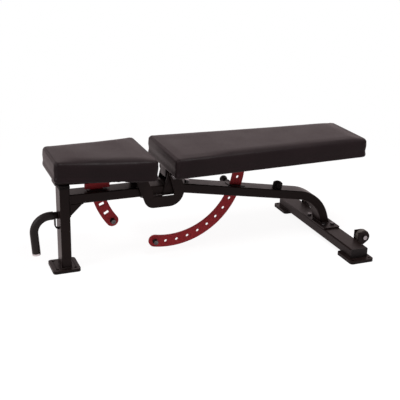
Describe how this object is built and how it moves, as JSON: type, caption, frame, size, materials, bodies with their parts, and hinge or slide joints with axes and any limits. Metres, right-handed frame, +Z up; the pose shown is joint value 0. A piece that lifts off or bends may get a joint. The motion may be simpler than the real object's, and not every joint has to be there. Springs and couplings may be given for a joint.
{
  "type": "adjustable weight bench",
  "caption": "Weight bench on a steel tube frame with a tilting seat and backrest, perforated arcs with pull pins, a lifting handle at the front and transport wheels at the rear.",
  "frame": {"origin": "on the floor, under the middle of the bench's overall box", "axes": "+X to the head end, along the bench; +Y to the far side; +Z up"},
  "size_m": [1.3604, 0.68, 0.4619],
  "materials": {
    "black_paint": "satin powder coat",
    "red_paint": "satin powder coat",
    "black_rubber": "matte moulded",
    "pad_vinyl": "satin grained vinyl",
    "plywood": "raw plywood",
    "zinc_steel": "zinc plated",
    "bronze": "turned",
    "black_plastic": "moulded",
    "aluminium": "turned and polished",
    "wheel_nylon": "moulded nylon"
  },
  "bodies": {
    "frame": {"front_sole": "black_rubber", "front_foot_plate": "black_paint", "rear_soles": "black_rubber", "rear_foot_plates": "black_paint", "front_post": "black_paint", "post_bumper": "black_rubber", "front_beam": "black_paint", "corner_gusset": "black_paint", "joint_plate": "black_paint", "rear_beam": "black_paint", "beam_bolts": "zinc_steel", "rear_base": "black_paint", "base_end_caps": "black_plastic", "leg_flange": "black_paint", "flange_bolts": "zinc_steel", "wheel_brackets": "black_paint", "wheel_axles": "zinc_steel", "handle_tube": "black_paint", "handle_grip": "black_rubber", "handle_end_ring": "aluminium", "handle_stay": "black_paint", "near_pivot_lug": "black_paint", "far_pivot_lug": "black_paint", "pivot_shaft": "zinc_steel", "pivot_nuts": "zinc_steel", "arc_liners": "black_plastic", "back_bumper": "black_rubber", "pin_barrels": "black_paint", "back_pin_spring": "zinc_steel", "seat_pin_spring": "zinc_steel"},
    "backrest": {"back_pad": "pad_vinyl", "back_board": "plywood", "back_mount_plates": "black_paint", "back_pad_screws": "zinc_steel", "back_tube": "black_paint", "back_tube_caps": "black_plastic", "back_pivot_bush": "bronze", "back_arc": "red_paint", "back_arc_stop_bolt": "zinc_steel", "back_arc_stop_sleeves": "black_rubber"},
    "seat": {"seat_pad": "pad_vinyl", "seat_board": "plywood", "seat_mount_plates": "black_paint", "seat_pad_screws": "zinc_steel", "seat_tube": "black_paint", "seat_tube_caps": "black_plastic", "link_spacers": "black_paint", "near_link_plate": "black_paint", "far_link_plate": "black_paint", "link_bushes": "bronze", "seat_arc": "red_paint", "seat_arc_stop_bolt": "zinc_steel", "seat_arc_stop_sleeves": "black_rubber"},
    "back_pull_pin": {"back_pin": "zinc_steel", "back_pin_knob": "black_plastic"},
    "seat_pull_pin": {"seat_pin": "zinc_steel", "seat_pin_knob": "black_plastic"},
    "near_transport_wheel": {"near_wheel": "wheel_nylon"},
    "far_transport_wheel": {"far_wheel": "wheel_nylon"}
  },
  "joints": [
    {"name": "backrest_tilt", "type": "hinge", "parent": "frame", "child": "backrest", "pos_m": [-0.12975, 0, 0.3545], "axis": [0, -1, 0], "range_deg": [-9, 72]},
    {"name": "seat_tilt", "type": "hinge", "parent": "frame", "child": "seat", "pos_m": [-0.12975, 0, 0.3545], "axis": [0, 1, 0], "range_deg": [0, 16.2]},
    {"name": "back_pin_slide", "type": "slide", "parent": "frame", "child": "back_pull_pin", "axis": [0, -1, 0], "range_m": [0, 0.016], "deforming": ["back_pin_spring"]},
    {"name": "seat_pin_slide", "type": "slide", "parent": "frame", "child": "seat_pull_pin", "axis": [0, -1, 0], "range_m": [0, 0.016], "deforming": ["seat_pin_spring"]},
    {"name": "near_wheel_spin", "type": "hinge", "parent": "frame", "child": "near_transport_wheel", "pos_m": [0.64075, -0.222, 0.062], "axis": [0, 1, 0], "continuous": true},
    {"name": "far_wheel_spin", "type": "hinge", "parent": "frame", "child": "far_transport_wheel", "pos_m": [0.64075, 0.222, 0.062], "axis": [0, 1, 0], "continuous": true}
  ]
}
